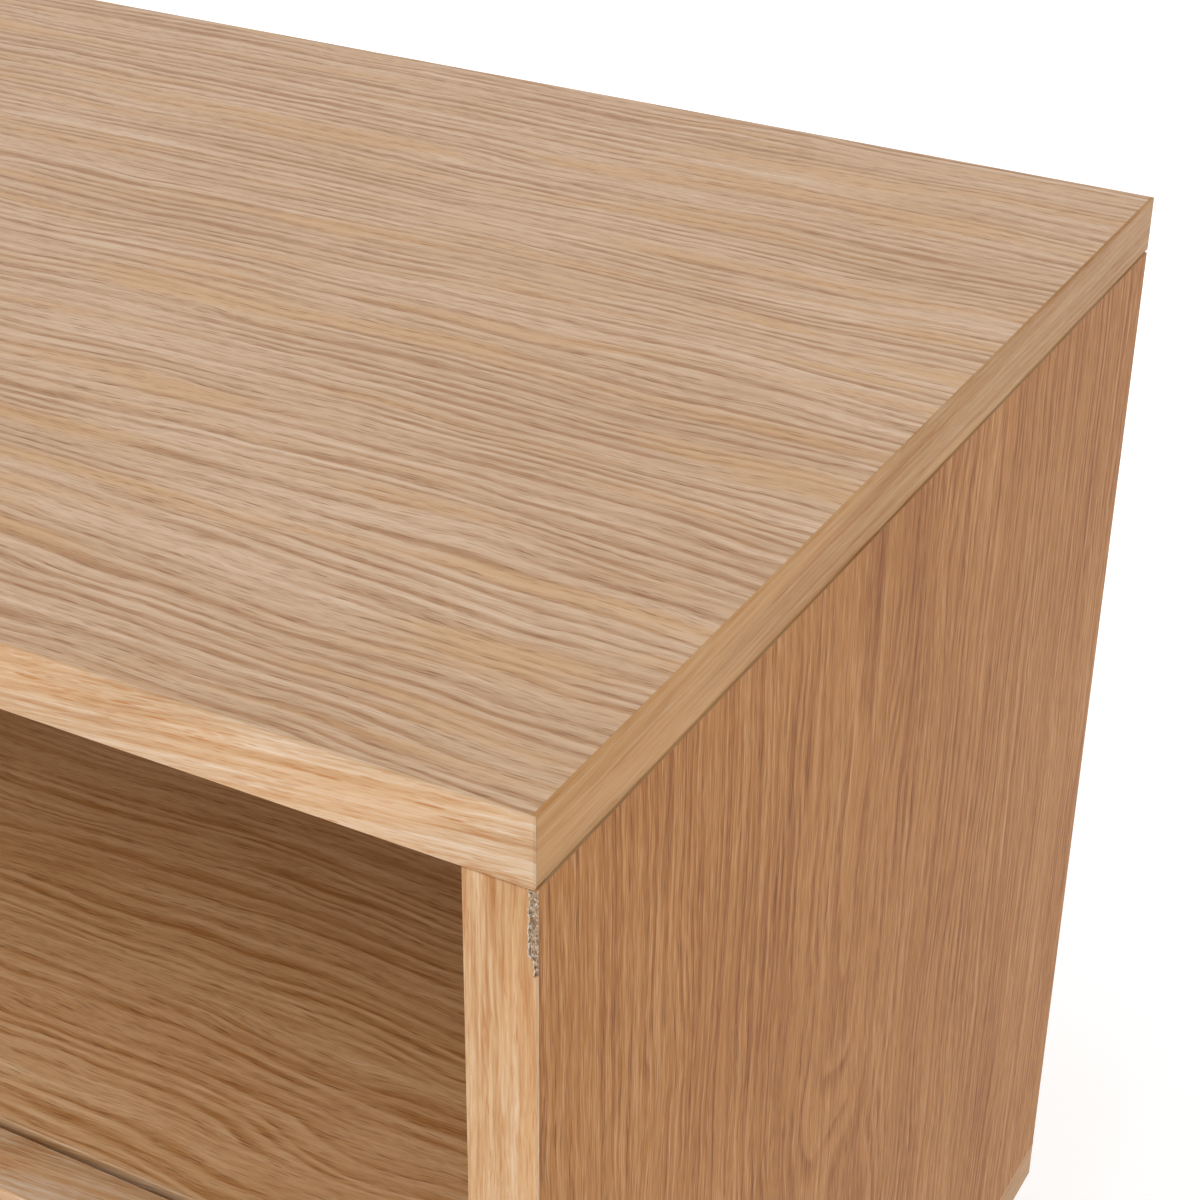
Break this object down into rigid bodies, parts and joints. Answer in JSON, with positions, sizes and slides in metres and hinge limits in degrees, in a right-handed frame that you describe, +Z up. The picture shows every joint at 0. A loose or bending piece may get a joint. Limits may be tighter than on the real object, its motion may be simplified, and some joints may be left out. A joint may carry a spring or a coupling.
{
  "type": "media cabinet",
  "caption": "Low oak-veneered media cabinet on tapered legs: open niche under the top, inset push-to-open doors on concealed hinges below.",
  "frame": {"origin": "on the floor under the centre of the case", "axes": "+X along the length to the right seen from the front, +Y to the back, +Z up"},
  "size_m": [1.6, 0.4, 0.55],
  "materials": {
    "oak_veneer": "clear matt lacquer on oak veneer",
    "oak_band": "oak edge veneer, matt lacquer",
    "solid_oak": "turned oak, matt lacquer",
    "back_board": "veneered fibreboard",
    "beech": "plain",
    "plated_steel": "nickel plated",
    "screw_steel": "zinc plated",
    "cast_zinc": "die-cast zinc",
    "grey_plastic": "moulded, matt",
    "white_plastic": "moulded, satin",
    "glide_rubber": "matt"
  },
  "bodies": {
    "cabinet": {"top_panel": "oak_veneer", "bottom_panel": "oak_veneer", "left_side": "oak_veneer", "right_side": "oak_veneer", "centre_upright": "oak_veneer", "left_shelf": "oak_veneer", "right_shelf": "oak_veneer", "left_back": "back_board", "right_back": "back_board", "top_front_band": "oak_band", "top_left_band": "oak_band", "top_right_band": "oak_band", "bottom_front_band": "oak_band", "bottom_left_band": "oak_band", "bottom_right_band": "oak_band", "left_side_band": "oak_band", "right_side_band": "oak_band", "upright_band": "oak_band", "left_shelf_band": "oak_band", "right_shelf_band": "oak_band", "hinge_arms": "plated_steel", "hinge_plates": "plated_steel", "hinge_plate_screws": "screw_steel", "latch_housings": "grey_plastic", "latch_screws": "screw_steel", "cam_locks": "cast_zinc", "cam_bolts": "screw_steel", "dowels": "beech", "front_left_leg": "solid_oak", "front_right_leg": "solid_oak", "rear_left_leg": "solid_oak", "rear_right_leg": "solid_oak", "leg_plates": "plated_steel", "leg_bolts": "screw_steel", "leg_plate_screws": "screw_steel", "glides": "glide_rubber"},
    "left_outer_door": {"left_outer_door": "oak_veneer", "left_outer_edging": "oak_band", "left_outer_cups": "plated_steel", "left_outer_strike": "plated_steel"},
    "left_outer_links": {"left_outer_links": "plated_steel"},
    "left_outer_plunger": {"left_outer_plunger": "white_plastic"},
    "left_inner_door": {"left_inner_door": "oak_veneer", "left_inner_edging": "oak_band", "left_inner_cups": "plated_steel", "left_inner_strike": "plated_steel"},
    "left_inner_links": {"left_inner_links": "plated_steel"},
    "left_inner_plunger": {"left_inner_plunger": "white_plastic"},
    "right_inner_door": {"right_inner_door": "oak_veneer", "right_inner_edging": "oak_band", "right_inner_cups": "plated_steel", "right_inner_strike": "plated_steel"},
    "right_inner_links": {"right_inner_links": "plated_steel"},
    "right_inner_plunger": {"right_inner_plunger": "white_plastic"},
    "right_outer_door": {"right_outer_door": "oak_veneer", "right_outer_edging": "oak_band", "right_outer_cups": "plated_steel", "right_outer_strike": "plated_steel"},
    "right_outer_links": {"right_outer_links": "plated_steel"},
    "right_outer_plunger": {"right_outer_plunger": "white_plastic"}
  },
  "joints": [
    {"name": "left_outer_link_swing", "type": "hinge", "parent": "cabinet", "child": "left_outer_links", "pos_m": [-0.747, -0.1745, 0.25], "axis": [0, 0, -1], "range_deg": [-52.5, 0]},
    {"name": "left_outer_door_swing", "type": "hinge", "parent": "left_outer_links", "child": "left_outer_door", "pos_m": [-0.7665, -0.1875, 0.25], "axis": [0, 0, -1], "range_deg": [0, 144.4]},
    {"name": "left_outer_push", "type": "slide", "parent": "cabinet", "child": "left_outer_plunger", "axis": [0, 1, 0], "range_m": [0, 0.003], "stiffness_N_per_m": 400, "springref_m": -0.002},
    {"name": "left_inner_link_swing", "type": "hinge", "parent": "cabinet", "child": "left_inner_links", "pos_m": [-0.044, -0.1745, 0.25], "axis": [0, 0, 1], "range_deg": [-52.5, 0]},
    {"name": "left_inner_door_swing", "type": "hinge", "parent": "left_inner_links", "child": "left_inner_door", "pos_m": [-0.0245, -0.1875, 0.25], "axis": [0, 0, 1], "range_deg": [0, 144.4]},
    {"name": "left_inner_push", "type": "slide", "parent": "cabinet", "child": "left_inner_plunger", "axis": [0, 1, 0], "range_m": [0, 0.003], "stiffness_N_per_m": 400, "springref_m": -0.002},
    {"name": "right_inner_link_swing", "type": "hinge", "parent": "cabinet", "child": "right_inner_links", "pos_m": [0.044, -0.1745, 0.25], "axis": [0, 0, -1], "range_deg": [-52.5, 0]},
    {"name": "right_inner_door_swing", "type": "hinge", "parent": "right_inner_links", "child": "right_inner_door", "pos_m": [0.0245, -0.1875, 0.25], "axis": [0, 0, -1], "range_deg": [0, 144.4]},
    {"name": "right_inner_push", "type": "slide", "parent": "cabinet", "child": "right_inner_plunger", "axis": [0, 1, 0], "range_m": [0, 0.003], "stiffness_N_per_m": 400, "springref_m": -0.002},
    {"name": "right_outer_link_swing", "type": "hinge", "parent": "cabinet", "child": "right_outer_links", "pos_m": [0.747, -0.1745, 0.25], "axis": [0, 0, 1], "range_deg": [-52.5, 0]},
    {"name": "right_outer_door_swing", "type": "hinge", "parent": "right_outer_links", "child": "right_outer_door", "pos_m": [0.7665, -0.1875, 0.25], "axis": [0, 0, 1], "range_deg": [0, 144.4]},
    {"name": "right_outer_push", "type": "slide", "parent": "cabinet", "child": "right_outer_plunger", "axis": [0, 1, 0], "range_m": [0, 0.003], "stiffness_N_per_m": 400, "springref_m": -0.002}
  ],
  "couplings": [
    {"joint": "left_outer_link_swing", "follows": "left_outer_door_swing", "ratio": -0.36306},
    {"joint": "left_inner_link_swing", "follows": "left_inner_door_swing", "ratio": -0.36306},
    {"joint": "right_inner_link_swing", "follows": "right_inner_door_swing", "ratio": -0.36306},
    {"joint": "right_outer_link_swing", "follows": "right_outer_door_swing", "ratio": -0.36306}
  ]
}
